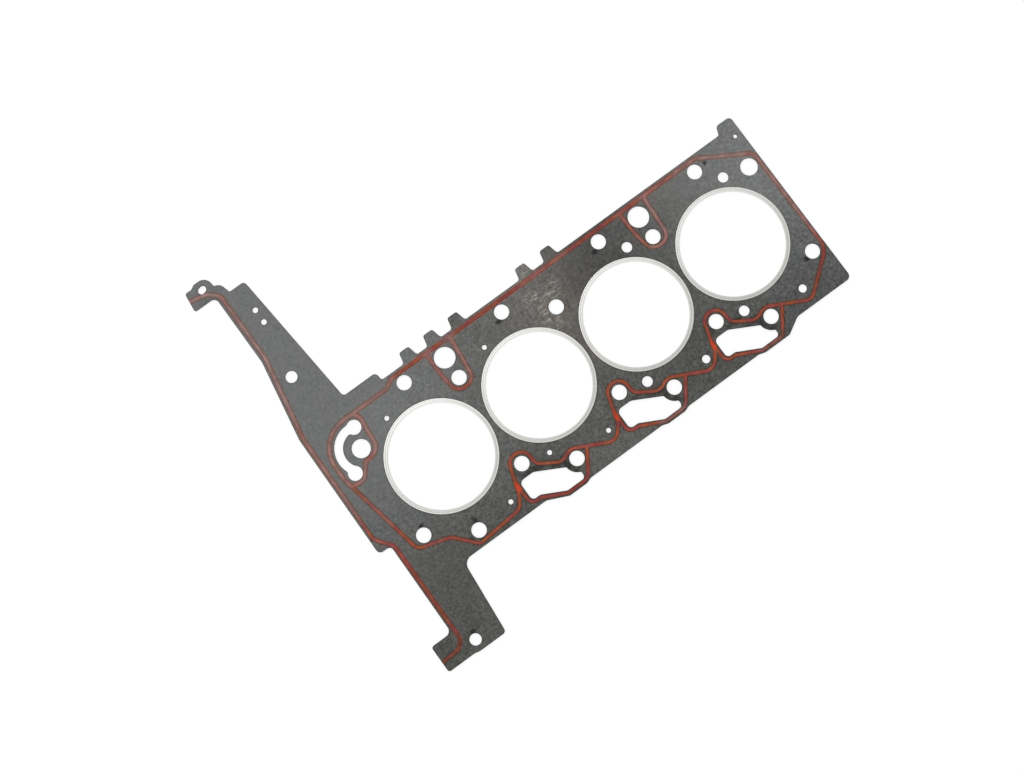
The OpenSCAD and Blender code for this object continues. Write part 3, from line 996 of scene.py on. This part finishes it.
@dataclass
class PunchedSheet:
    """One sheet of the laminate, punched through at every opening, in millimetres.

    The rim_shade is the width of the painted shade, a dark line, along an edge and flange_shade that of
    the painted shadow along a ring's flange.
    The stain beside a bead is full up to halo_full from its middle and gone at halo_none.
    """

    name: str
    node: str
    slot: str
    upper_roll: float = 0.0
    lower_roll: float = 0.0
    beads: tuple[Strand, ...] = ()
    rim_shade: float = 0.8
    flange_shade: float = 1.2
    chord: float = 0.7
    bore: float = 42.3
    flange: float = 2.7
    halo_full: float = 1.3
    halo_none: float = 2.7
    crisp: float = 50.0

    ROLL_SHARES: ClassVar[tuple[float, ...]] = (1.0, 0.55, 0.2, 0.0)
    PLAN_WELD: ClassVar[float] = 1e-4
    LINE_STEP: ClassVar[float] = 0.2
    BORE_SLACK: ClassVar[float] = 0.1

    def edges(self) -> list[Outline]:
        """Traces the edges of the sheet from its model node.

        Returns:
            Every edge, with the sheet on its left.
        """
        work = bmesh.new()
        work.from_mesh(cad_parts[self.node].data)
        bmesh.ops.remove_doubles(work, verts=work.verts, dist=MODEL_WELD)
        work.normal_update()
        top = [face for face in work.faces if face.normal.z > 0.5]
        tops = set(top)
        following = {}
        for face in top:
            for loop in face.loops:
                if not any(other in tops for other in loop.edge.link_faces if other is not face):
                    following[loop.vert] = loop.link_loop_next.vert
        found = []
        while following:
            first, here = following.popitem()
            ring = [first]
            while here is not first:
                ring.append(here)
                here = following.pop(here)
            found.append(Outline.traced(np.array([vert.co[:2] for vert in ring]) / MM, self.chord))
        work.free()
        return found

    @classmethod
    def filled(cls, edges: list[np.ndarray],
               lines: list[np.ndarray]) -> tuple[np.ndarray, list[list[int]]]:
        """Fills the plan between the edges with triangles.

        Args:
            edges: the points of each edge.
            lines: closed lines inside the plan at which its tone changes.

        Returns:
            The points and the triangles.
        """
        loops = edges + lines
        links = []
        start = 0
        for loop in loops:
            links += [(start + i, start + (i + 1) % len(loop)) for i in range(len(loop))]
            start += len(loop)
        corners = [Vector(point) for point in np.concatenate(loops)]
        flat, _, faces, _, _, _ = delaunay_2d_cdt(corners, links, [], 0, cls.PLAN_WELD)
        plan = np.array([tuple(point) for point in flat])
        middles = np.array([plan[list(face)].mean(axis=0) for face in faces])
        inside = np.zeros(len(middles), dtype=bool)
        for loop in edges:
            for a, b in zip(loop, np.roll(loop, -1, axis=0)):
                spans = (a[1] > middles[:, 1]) != (b[1] > middles[:, 1])
                if a[1] != b[1]:
                    cut = a[0] + (middles[:, 1] - a[1]) * (b[0] - a[0]) / (b[1] - a[1])
                    inside ^= spans & (middles[:, 0] < cut)
        return plan, [list(face) for face, keep in zip(faces, inside) if keep]

    @classmethod
    def nearness(cls, plan: np.ndarray, lines: list[np.ndarray], full: float,
                 none: float) -> np.ndarray:
        """Works out how near each point lies to the nearest of some closed lines.

        Args:
            plan: the points.
            lines: the lines.
            full: distance up to which the result is 1.
            none: distance from which it is 0.

        Returns:
            The nearness of each point.
        """
        dense = []
        for line in lines:
            for a, b in zip(line, np.roll(line, -1, axis=0)):
                count = max(1, math.ceil(math.dist(a, b) / cls.LINE_STEP))
                dense += [a + (b - a) * i / count for i in range(count)]
        tree = KDTree(len(dense))
        for i, point in enumerate(dense):
            tree.insert((point[0], point[1], 0.0), i)
        tree.balance()
        apart = np.array([tree.find((x, y, 0.0))[2] for x, y in plan])
        return np.clip((none - apart) / (none - full), 0.0, 1.0)

    @staticmethod
    def knit(work: bmesh.types.BMesh) -> None:
        """Splits the open edges of the walls at the corners of the plan that lie on them.

        Args:
            work: the sheet, changed in place.
        """
        near_end = 1e-4
        loose = [edge for edge in work.edges if len(edge.link_faces) == 1]
        ends = list(dict.fromkeys(vert for edge in loose for vert in edge.verts))
        tree = KDTree(len(ends))
        for i, vert in enumerate(ends):
            tree.insert(vert.co, i)
        tree.balance()
        for edge in loose:
            start, end = edge.verts
            first, run = start.co.copy(), end.co - start.co
            found = []
            for place, _, _ in tree.find_range(first + run / 2.0, run.length / 2.0):
                share = (place - first).dot(run) / run.length_squared
                aside = (place - first - run * share).length
                if near_end < share < 1.0 - near_end and aside < MODEL_WELD:
                    found.append((share, place.copy()))
            for _, place in sorted(found, key=lambda item: item[0]):
                _, vert = bmesh.utils.edge_split(edge, start, 0.5)
                vert.co = place
                edge = next(other for other in vert.link_edges if end in other.verts)
                start = vert

    @staticmethod
    def stand(work: bmesh.types.BMesh, point: np.ndarray, height: float, rim_shade: float,
              halo: float = 0.0) -> bmesh.types.BMVert:
        """Adds a corner of the sheet.

        Args:
            work: the sheet, changed in place.
            point: its place in plan.
            height: its height.
            rim_shade: how near it lies to an edge or a ring's flange, from 0 to 1, for the painted shade
                there.
            halo: how near it lies to a bead, from 0 to 1.

        Returns:
            The corner.
        """
        vert = work.verts.new((point[0] * MM, point[1] * MM, height * MM))
        vert[work.verts.layers.float["rim_shade"]] = rim_shade
        vert[work.verts.layers.float["halo"]] = halo
        return vert

    def cover(self, work: bmesh.types.BMesh, edges: list[Outline], height: float, roll: float,
              upward: bool) -> None:
        """Lays one face of the sheet. Only a face with a rolled edge is seen and has its lines.

        Args:
            work: the sheet, changed in place.
            edges: edges of the sheet.
            height: height of the face.
            roll: radius of its rolled edge.
            upward: whether it faces up.
        """
        outer = [edge.inset(roll) for edge in edges]
        bores = [edge for edge in edges if abs(edge.reach() - self.bore) < self.BORE_SLACK]
        flanges = [edge.inset(self.flange) for edge in bores]
        lines = []
        if roll:
            lines += [edge.inset(roll + self.rim_shade) for edge in edges] + flanges
            lines += [edge.inset(self.flange + self.flange_shade) for edge in bores]
            for strand in self.beads:
                lines += strand.sides(self.halo_full) + strand.sides(self.halo_none)
        plan, faces = self.filled(outer, lines)
        # Where painted shade darkens the sheet: along its edges and, as a painted shadow, round each
        # ring's flange.
        rim_shade = self.nearness(plan, outer, 0.0, self.rim_shade)
        halo = np.zeros(len(plan))
        if roll:
            rim_shade = np.maximum(rim_shade, self.nearness(plan, flanges, 0.0, self.flange_shade))
        if roll and self.beads:
            walks = [strand.there_and_back() for strand in self.beads]
            halo = self.nearness(plan, walks, self.halo_full, self.halo_none)
        verts = [self.stand(work, point, height, dark, stain)
                 for point, dark, stain in zip(plan, rim_shade, halo)]
        for face in faces:
            area = np.cross(plan[face[1]] - plan[face[0]], plan[face[2]] - plan[face[0]])
            order = face if (area > 0) == upward else face[::-1]
            work.faces.new([verts[i] for i in order])

    def wall_levels(self, bottom: float, top: float) -> list[tuple[float, float]]:
        """Draws the wall of the sheet in section, a quarter round at each rolled edge.

        Args:
            bottom: height of the lower face.
            top: height of the upper face.

        Returns:
            How far each line lies inside the edge and its height, from the bottom up.
        """
        levels = []
        for roll, face, way in ((self.lower_roll, bottom, 1), (self.upper_roll, top, -1)):
            turn = [(share * roll, face + way * (1.0 - math.sqrt(1.0 - (1.0 - share) ** 2)) * roll)
                    for share in (self.ROLL_SHARES if roll else (0.0,))]
            levels += turn[::way]
        return levels

    def build(self) -> bpy.types.Object:
        """Builds the sheet with its rolled edges and the values that its finish reads.

        Returns:
            The piece.
        """
        low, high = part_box(self.node)
        bottom, top = low[2] / MM, high[2] / MM
        edges = self.edges()
        work = bmesh.new()
        for layer in ("rim_shade", "halo"):
            work.verts.layers.float.new(layer)
        self.cover(work, edges, top, self.upper_roll, True)
        self.cover(work, edges, bottom, self.lower_roll, False)
        levels = self.wall_levels(bottom, top)
        for edge in edges:
            rings = [[self.stand(work, point, height, 1.0) for point in edge.inset(depth)]
                     for depth, height in levels]
            for lower, upper in zip(rings, rings[1:]):
                for i in range(len(lower)):
                    k = (i + 1) % len(lower)
                    work.faces.new((lower[k], lower[i], upper[i], upper[k])).smooth = True
        spare = [vert for vert in work.verts if not vert.link_faces]
        bmesh.ops.delete(work, geom=spare, context="VERTS")
        bmesh.ops.remove_doubles(work, verts=work.verts, dist=SHEET_WELD)
        self.knit(work)
        bmesh.ops.remove_doubles(work, verts=work.verts, dist=SHEET_WELD)
        turn_out(work)
        open_edges = sum(1 for edge in work.edges if len(edge.link_faces) != 2)
        for edge in work.edges:
            edge.smooth = edge.calc_face_angle(0.0) < math.radians(self.crisp)
        mesh = bpy.data.meshes.new(self.name)
        work.to_mesh(mesh)
        work.free()
        log.info("%s: %d openings, %d open edges", self.name, len(edges) - 1, open_edges)
        return piece_from(self.name, mesh)

    def make(self, material: bpy.types.Material) -> None:
        """Builds the sheet, dresses it and ties it to the frame.

        Args:
            material: finish of the sheet.
        """
        piece = self.build()
        piece.data.materials.append(material)
        settle(piece, self.slot, self.node)


@dataclass
class FireRings:
    """The four rings of sheet steel folded round the cylinder openings, in millimetres."""

    pitch: float = PITCH
    bore: float = 41.75
    flange: float = 3.25
    sheet: float = 0.2
    laminate: float = LAMINATE
    bend: float = 0.45
    bend_steps: int = 7
    crease_at: float = 0.56
    crease_depth: float = 0.06
    crease_roll: float = 1.2
    crease_steps: int = 6
    shear: float = 0.06
    around: int = 224
    crisp: float = 40.0

    def bent(self, corner: tuple[float, float], radius: float,
             start: float) -> list[tuple[float, float]]:
        """Draws a quarter turn of a fold.

        Args:
            corner: middle of the turn.
            radius: its radius.
            start: angle at which it starts, in degrees, going clockwise.

        Returns:
            The points of the turn.
        """
        steps = self.bend_steps
        angles = [math.radians(start - 90.0 * i / steps) for i in range(steps + 1)]
        return [(corner[0] + radius * math.cos(a), corner[1] + radius * math.sin(a)) for a in angles]

    def flange_line(self) -> list[tuple[float, float]]:
        """Draws the outer face of a flange, outwards from the bend, with its rolled crease.

        Returns:
            Distance from the bore and depth below the highest face, for each point.
        """
        edge = self.flange - self.shear
        middle = self.crease_at * self.flange
        half = math.sqrt(self.crease_roll ** 2 - (self.crease_roll - self.crease_depth) ** 2)
        line = [(self.bend + 0.4 * (middle - half - self.bend), 0.0)]
        for i in range(-self.crease_steps, self.crease_steps + 1):
            x = half * i / self.crease_steps
            depth = math.sqrt(self.crease_roll ** 2 - x ** 2) - self.crease_roll + self.crease_depth
            line.append((middle + x, max(depth, 0.0)))
        line.append(((middle + half + edge) / 2.0, 0.0))
        line.append((edge, 0.0))
        line.append((edge + 0.7 * self.shear, 0.3 * self.shear))
        line.append((self.flange, self.shear))
        return line

    def section(self) -> list[tuple[float, float]]:
        """Draws the folded section, closed, from the bore outwards.

        Returns:
            Distance from the bore and height, for each point.
        """
        top, bottom = self.laminate + self.sheet, -self.sheet
        inner = self.bend - self.sheet
        flange = self.flange_line()
        outside = [(x, bottom + depth) for x, depth in reversed(flange)]
        outside += self.bent((self.bend, bottom + self.bend), self.bend, 270.0)
        outside += self.bent((self.bend, top - self.bend), self.bend, 180.0)
        outside += [(x, top - depth) for x, depth in flange]
        inside = [(self.flange, self.laminate)]
        inside += self.bent((self.bend, self.laminate - inner), inner, 180.0)[::-1]
        inside += self.bent((self.bend, inner), inner, 270.0)[::-1]
        return outside + inside + [(self.flange, 0.0)]

    def tree(self) -> bpy.types.NodeTree:
        """Builds the tree that turns the section round the cylinder axis.

        Returns:
            The tree.
        """
        bench, given, result = tree_with(
            "Fire ring", Bore="Float", Axis="Vector", Around="Int", Material="Material")
        section = bench.make("GeometryNodeMeshToCurve", {0: given["Geometry"]})
        circle = bench.make("GeometryNodeCurvePrimitiveCircle",
                            {"Resolution": given["Around"], "Radius": given["Bore"]})
        turned = bench.make("GeometryNodeCurveToMesh", {"Curve": circle, "Profile Curve": section})
        place = bench.add("GeometryNodeInputPosition").outputs[0]
        flat = bench.vector("SCALE", bench.vector("MULTIPLY", place, (1.0, 1.0, 0.0)), 1.0 / MM)
        kept = bench.make("GeometryNodeStoreNamedAttribute", {
            "Geometry": turned, "Name": "reach", "Value": bench.vector("LENGTH", flat)},
            data_type="FLOAT", domain="POINT")
        bench.end(kept, given["Axis"], given["Material"], result)
        return bench.tree

    def make(self, material: bpy.types.Material) -> None:
        """Makes the four rings and ties them to the frame.

        Args:
            material: finish of the rings.
        """
        points = [(x * MM, -z * MM, 0.0) for x, z in self.section()]
        links = [(i, (i + 1) % len(points)) for i in range(len(points))]
        tree = self.tree()
        for number in range(1, 5):
            base = bpy.data.meshes.new("ring_section")
            base.from_pydata(points, links, [])
            axis = ((number - 2.5) * self.pitch * MM, 0.0, 0.0)
            ring = made_by(tree, f"fire_ring_steel_{number}", base, {
                "Bore": self.bore * MM, "Axis": axis, "Around": self.around, "Material": material})
            face_out(ring.data)
            ring.data.shade_smooth()
            ring.data.set_sharp_from_angle(angle=math.radians(self.crisp))
            settle(ring, "ring_steel", f"fire_ring_{number}")


@dataclass
class PrintedBeads:
    """The silicone lines printed on one face of the laminate, in millimetres.

    Their corners are given from the rows and columns of bolt holes, from the ends of the sheet and
    from the tips of the arm and foot. Wander is how many swings in width there are in a metre.
    """

    face: Face
    width: float = 2.8
    height: float = BEAD_HEIGHT
    laminate: float = LAMINATE
    step: float = 0.7
    dome_points: int = 11
    turn_points: int = 24
    unevenness: float = 0.1
    wander: float = 120.0
    sliver: float = 0.001
    crisp: float = 60.0
    pitch: float = PITCH
    upper_row: float = 41.5
    lower_row: float = -41.5
    front_column: float = -2.0 * PITCH
    rear_column: float = 2.0 * PITCH
    front_edge: float = -224.5
    rear_edge: float = 200.0
    top_run: float = 71.9
    window_run: float = -80.9
    arm_top: float = 202.1
    foot_end: float = -138.9

    SEEDS: ClassVar[dict[Face, float]] = {Face.UPPER: 3.0, Face.LOWER: 8.0}

    @staticmethod
    def at(x: float, y: float, corners: Route) -> Route:
        """Moves corners given from an anchor point to their place.

        Args:
            x: anchor along X.
            y: anchor along Y.
            corners: corners as offset from the anchor and radius.

        Returns:
            The corners in the part's frame.
        """
        return [(x + dx, y + dy, radius) for dx, dy, radius in corners]

    def over_bolt(self, column: int, tail: Route) -> Route:
        """Runs the bead from a drain window over the bolt hole in front of it.

        Args:
            column: number of the bolt column, 0 in the middle.
            tail: the last corners, beside the next window.

        Returns:
            The corners, from the rear to the front.
        """
        return self.at(column * self.pitch, self.lower_row, [
            (36.5, -12.6, 10), (26.5, -17.8, 9), (8.8, -6.7, 7), (8.3, 8.9, 8.6), (-6.9, 8.9, 8.4),
            *tail])

    def round_cylinders(self) -> Route:
        """Runs the main bead round all the cylinders, clockwise.

        Returns:
            The corners, the last of them joined to the first.
        """
        wide = [(-14.7, -18.7, 12), (-24, -29.3, 9)]
        close = [(-15.7, -18.5, 12), (-21.7, -27.4, 9)]
        return [
            (self.front_column + 43.4, self.upper_row + 26, 6),
            (self.front_column + 50.4, self.top_run, 6),
            (self.rear_column - 30.8, self.top_run, 6),
            (self.rear_edge - 2.4, self.upper_row + 6.7, 9),
            (self.rear_edge - 2, self.lower_row - 3.5, 15),
            (self.rear_column - 23.3, self.lower_row - 30.2, 8),
            *self.over_bolt(1, wide), *self.over_bolt(0, wide), *self.over_bolt(-1, close),
            *self.at(self.front_column, self.lower_row, [
                (32.1, -31.1, 6), (16.3, -13.7, 12), (-9.9, -5.6, 7)]),
            *self.at(self.front_column, self.upper_row, [(-24.5, -12.5, 10), (-24.6, 26, 26)])]

    def round_slot(self) -> Route:
        """Runs the branch that closes the loop round the oil slot.

        Returns:
            The corners.
        """
        return self.at(self.front_column, self.upper_row, [
            (3.5, 26.4, 0), (14.4, 25.2, 7.5), (12.1, 8, 10), (11.3, -9.5, 10.2), (-2.4, -9.9, 5),
            (-11.7, -20.9, 5), (-22.9, -20.7, 4), (-24.3, -15.5, 0)])

    def round_window(self, column: int, turn: float, end: float) -> Route:
        """Runs the branch round the outside of a drain window.

        Args:
            column: number of the bolt column.
            turn: radius of its last corner.
            end: how far behind the bolt it joins the main bead.

        Returns:
            The corners.
        """
        x = column * self.pitch
        return [
            *self.at(x, self.lower_row, [
                (-12.4, -9.5, 0), (-12.8, -18.5, 8), (-12.2, -29.6, 5.5), (-3.5, -30, 6)]),
            (x + 15.7, self.window_run, 6), (x + 35.3, self.window_run, turn),
            (x + end, self.lower_row - 19.2, 0)]

    def round_risers(self) -> list[Route]:
        """Runs the two branches round an upper bolt with its riser hole.

        Returns:
            The corners of each branch.
        """
        front = [(-14.4, 30.9, 0), (-10.2, 30.1, 3.4), (-9.9, 7.5, 12), (-7.7, -8.7, 8),
                 (8.9, -8.7, 8.3), (12.9, 30.4, 0)]
        rear = [(-10.9, 30.4, 0), (-10.1, 10.5, 12), (-7.2, -8.5, 9), (10.2, -8.5, 8.5),
                (12.5, 29.8, 3), (16.6, 30.7, 0)]
        return [self.at(-self.pitch, self.upper_row, front), self.at(self.pitch, self.upper_row, rear)]

    def along_case(self) -> Route:
        """Runs the front bead along the timing case joint, from the hook to the foot.

        Returns:
            The corners.
        """
        return [
            *self.at(self.front_column, self.arm_top, [
                (-41.8, 11.9, 0), (-27.6, 9, 10), (-19.5, 1.4, 6), (-19.5, -59.1, 30)]),
            (self.front_edge + 4.4, self.upper_row + 32.5, 25),
            (self.front_edge + 3.1, self.lower_row + 20.4, 10),
            (self.front_column - 23, self.lower_row + 6.7, 9),
            *self.at(self.front_column, self.foot_end, [(-23.3, 11.0, 10), (-44.6, 10.0, 0)])]

    @staticmethod
    def rounded(route: Route, closed: bool) -> Strand:
        """Draws a route as short straight steps.

        Args:
            route: corners of the route.
            closed: whether it runs back to its start.

        Returns:
            The middle line.
        """
        corners = np.array([(x, y) for x, y, _ in route])
        points = []
        for i, (_, _, radius) in enumerate(route):
            here = corners[i]
            if radius <= 0:
                points.append(here)
                continue
            back = corners[i - 1] - here
            ahead = corners[(i + 1) % len(route)] - here
            back /= np.hypot(*back)
            ahead /= np.hypot(*ahead)
            half = math.acos(float(np.clip(back @ ahead, -1.0, 1.0))) / 2.0
            middle = here + (back + ahead) / np.hypot(*(back + ahead)) * radius / math.sin(half)
            turn = math.pi - 2.0 * half
            first = here + back * radius / math.tan(half) - middle
            last = here + ahead * radius / math.tan(half) - middle
            for share in np.linspace(0.0, 1.0, 9):
                way = math.sin((1.0 - share) * turn) * first + math.sin(share * turn) * last
                points.append(middle + way / math.sin(turn))
        return Strand(np.array(points), closed)

    def tree(self, strands: int) -> bpy.types.NodeTree:
        """Builds the tree that lays domed strands along their routes and joins them.

        Args:
            strands: number of strands.

        Returns:
            The tree.
        """
        bench, given, result = tree_with(
            f"Printed bead of {strands} strands", Width="Float", Height="Float", Level="Float",
            Step="Float", Unevenness="Float", Seed="Float", Material="Material")
        corner, number = (
            bench.make("GeometryNodeInputNamedAttribute", {"Name": name}, data_type=kind)
            for name, kind in (("corner", "FLOAT"), ("strand", "INT")))
        dome = bench.make("GeometryNodeCurveArc", {
            "Resolution": self.dome_points, "Radius": 1.0, "Start Angle": 0.0,
            "Sweep Angle": math.pi}, mode="RADIUS")
        closed = bench.make("GeometryNodeSetSplineCyclic", {"Geometry": dome, "Cyclic": True})
        size = bench.triple(bench.sum("MULTIPLY", given["Width"], 0.5),
                            bench.sum("MULTIPLY", given["Height"], -1.0), 1.0)
        profile = bench.make("GeometryNodeTransform", {"Geometry": closed, "Scale": size})
        joined = bench.add("GeometryNodeMeshBoolean", operation="UNION", solver="MANIFOLD")
        for i in range(strands):
            same = bench.sum("COMPARE", number, float(i), 0.1)
            strand = bench.make("GeometryNodeSeparateGeometry", {
                "Geometry": given["Geometry"], "Selection": same}, domain="POINT")
            fillet = bench.make("GeometryNodeFilletCurve", {
                "Curve": bench.make("GeometryNodeMeshToCurve", {0: strand}),
                "Count": self.turn_points, "Radius": corner, "Limit Radius": True}, mode="POLY")
            even = bench.make("GeometryNodeResampleCurve", {
                "Curve": fillet, "Length": given["Step"]}, mode="LENGTH")
            wander = bench.make("ShaderNodeTexNoise", {
                "W": given["Seed"], "Scale": self.wander}, noise_dimensions="4D")
            swing = bench.swing(wander.outputs["Fac"], given["Unevenness"])
            swept = bench.make("GeometryNodeCurveToMesh", {
                "Curve": even, "Profile Curve": profile, "Scale": bench.sum("ADD", swing, 1.0),
                "Fill Caps": True})
            outwards = bench.make("GeometryNodeFlipFaces", {
                "Mesh": swept, "Selection": bench.sum("GREATER_THAN", given["Height"], 0.0)})
            bench.feed(joined.inputs["Mesh 2"], outwards)
        bench.end(joined, bench.triple(0.0, 0.0, given["Level"]), given["Material"], result)
        return bench.tree

    @staticmethod
    def routes_mesh(routes: list[Route], closed: list[bool]) -> bpy.types.Mesh:
        """Draws the routes as edges that carry each corner's radius and strand number.

        Args:
            routes: corners of each strand.
            closed: whether each strand runs back to its start.

        Returns:
            The mesh.
        """
        points, links, radii, numbers = [], [], [], []
        for number, (route, looped) in enumerate(zip(routes, closed)):
            first = len(points)
            points += [(x * MM, y * MM, 0.0) for x, y, _ in route]
            radii += [radius * MM for _, _, radius in route]
            numbers += [number] * len(route)
            links += [(first + i, first + i + 1) for i in range(len(route) - 1)]
            if looped:
                links.append((first + len(route) - 1, first))
        mesh = bpy.data.meshes.new("bead_routes")
        mesh.from_pydata(points, links, [])
        mesh.attributes.new("corner", "FLOAT", "POINT").data.foreach_set("value", radii)
        mesh.attributes.new("strand", "INT", "POINT").data.foreach_set("value", numbers)
        return mesh

    def lay(self, name: str, node: str, routes: list[Route], closed: list[bool],
            material: bpy.types.Material) -> None:
        """Makes one bead and ties it to the frame.

        Args:
            name: name of the piece.
            node: model node that it replaces.
            routes: corners of each strand.
            closed: whether each strand runs back to its start.
            material: finish of the bead.
        """
        level = self.laminate * MM if self.face is Face.UPPER else 0.0
        bead = made_by(self.tree(len(routes)), name, self.routes_mesh(routes, closed), {
            "Width": self.width * MM, "Height": self.height * MM * self.face.value, "Level": level,
            "Step": self.step * MM, "Unevenness": self.unevenness, "Seed": self.SEEDS[self.face],
            "Material": material})
        face_out(bead.data, self.sliver * MM)
        bead.data.shade_smooth()
        bead.data.set_sharp_from_angle(angle=math.radians(self.crisp))
        settle(bead, "bead_print", node)

    def main_routes(self) -> list[Route]:
        """Gives the strands of the main bead, the closed one first.

        Returns:
            The corners of each strand.
        """
        return [self.round_cylinders(), self.round_slot(), *self.round_risers(),
                self.round_window(-1, 9, 48.5), self.round_window(0, 9, 49.7),
                self.round_window(1, 4, 49.6)]

    def strands(self) -> tuple[Strand, ...]:
        """Gives the middle line of every strand on this face.

        Returns:
            The lines, the closed one first.
        """
        ring, *branches = self.main_routes()
        return (self.rounded(ring, True),
                *(self.rounded(route, False) for route in branches + [self.along_case()]))

    def make(self, material: bpy.types.Material) -> None:
        """Makes both beads of this face.

        Args:
            material: finish of the beads.
        """
        side = self.face.name.lower()
        routes = self.main_routes()
        closed = [True] + [False] * (len(routes) - 1)
        self.lay(f"main_print_{side}", f"bead_{side}_main", routes, closed, material)
        self.lay(f"front_print_{side}", f"bead_{side}_front", [self.along_case()], [False], material)


@dataclass
class Studio:
    """The table, the soft light and the camera above it, in metres."""

    camera_place: tuple[float, float, float] = (-0.10437, -0.05661, 1.10644)
    camera_turn: tuple[float, float, float] = (4.1123, 0.4217, -36.1028)
    lens: float = 50.0
    sensor: float = 36.0
    table_size: float = 40.0
    table_height: float = -0.00021
    sky: float = 0.66
    back_place: tuple[float, float, float] = (-0.25, 1.15, 1.25)
    back_power: float = 9.0
    side_place: tuple[float, float, float] = (-0.9, -0.7, 1.6)
    side_power: float = 5.0
    lamp_size: float = 1.4

    def camera(self) -> None:
        """Sets up the camera almost straight above the gasket."""
        data = bpy.data.cameras.new("camera")
        data.lens = self.lens
        data.sensor_width = self.sensor
        camera = bpy.data.objects.new("camera", data)
        camera.location = self.camera_place
        camera.rotation_euler = Euler([math.radians(turn) for turn in self.camera_turn], "XYZ")
        bpy.context.scene.collection.objects.link(camera)
        bpy.context.scene.camera = camera

    def table(self) -> None:
        """Lays the white table under the gasket."""
        half, height = self.table_size / 2.0, self.table_height
        mesh = bpy.data.meshes.new("table")
        mesh.from_pydata([(-half, -half, height), (half, -half, height), (half, half, height),
                          (-half, half, height)], [], [(0, 1, 2, 3)])
        table = piece_from("table", mesh)
        mesh.materials.append(TableTop("table_top").material())

    def light(self) -> None:
        """Hangs a large soft lamp beyond the upper edge and a weaker one across from it."""
        for name, place, power in (("back_lamp", self.back_place, self.back_power),
                                   ("side_lamp", self.side_place, self.side_power)):
            data = bpy.data.lights.new(name, "AREA")
            data.shape = "SQUARE"
            data.size = self.lamp_size
            data.energy = power
            lamp = bpy.data.objects.new(name, data)
            lamp.location = place
            lamp.rotation_euler = (-Vector(place)).to_track_quat("-Z", "Y").to_euler()
            bpy.context.scene.collection.objects.link(lamp)

    def sky_light(self) -> None:
        """Fills the room with even white light, brighter where the camera or metal sees it."""
        world = bpy.data.worlds.new("studio")
        world.use_nodes = True
        bench = Bench(world.node_tree)
        background = world.node_tree.nodes["Background"]
        background.inputs["Color"].default_value = (1.0, 1.0, 1.0, 1.0)
        level = bench.sum("MULTIPLY_ADD", bench.seen(), 1.0 - self.sky, self.sky)
        bench.feed(background.inputs["Strength"], level)
        bpy.context.scene.world = world

    def make(self) -> None:
        """Sets up the whole studio."""
        bpy.context.scene.view_settings.view_transform = "Standard"
        self.camera()
        self.table()
        self.light()
        self.sky_light()
        log.info("studio: camera %.3f m above the table", self.camera_place[2])


def main() -> None:
    """Builds the gasket in order: studio, laminate, rings, beads."""
    logging.basicConfig(level=logging.INFO, format="%(name)s: %(message)s")
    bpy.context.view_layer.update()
    Studio().make()
    facing = FibreFacing("fibre_facing").material()
    core = CoreSteel("core_steel").material()
    PunchedSheet("core_sheet", "steel_core", "core_steel").make(core)
    strands = PrintedBeads(Face.UPPER).strands()
    PunchedSheet("upper_facing_sheet", "facing_upper", "facing", upper_roll=FACING_ROLL,
                 beads=strands).make(facing)
    PunchedSheet("lower_facing_sheet", "facing_lower", "facing", lower_roll=FACING_ROLL,
                 beads=strands).make(facing)
    FireRings().make(RingSteel("ring_steel").material())
    print_finish = SiliconeBead("bead_silicone").material()
    for face in Face:
        PrintedBeads(face).make(print_finish)


if __name__ == "__main__":
    main()
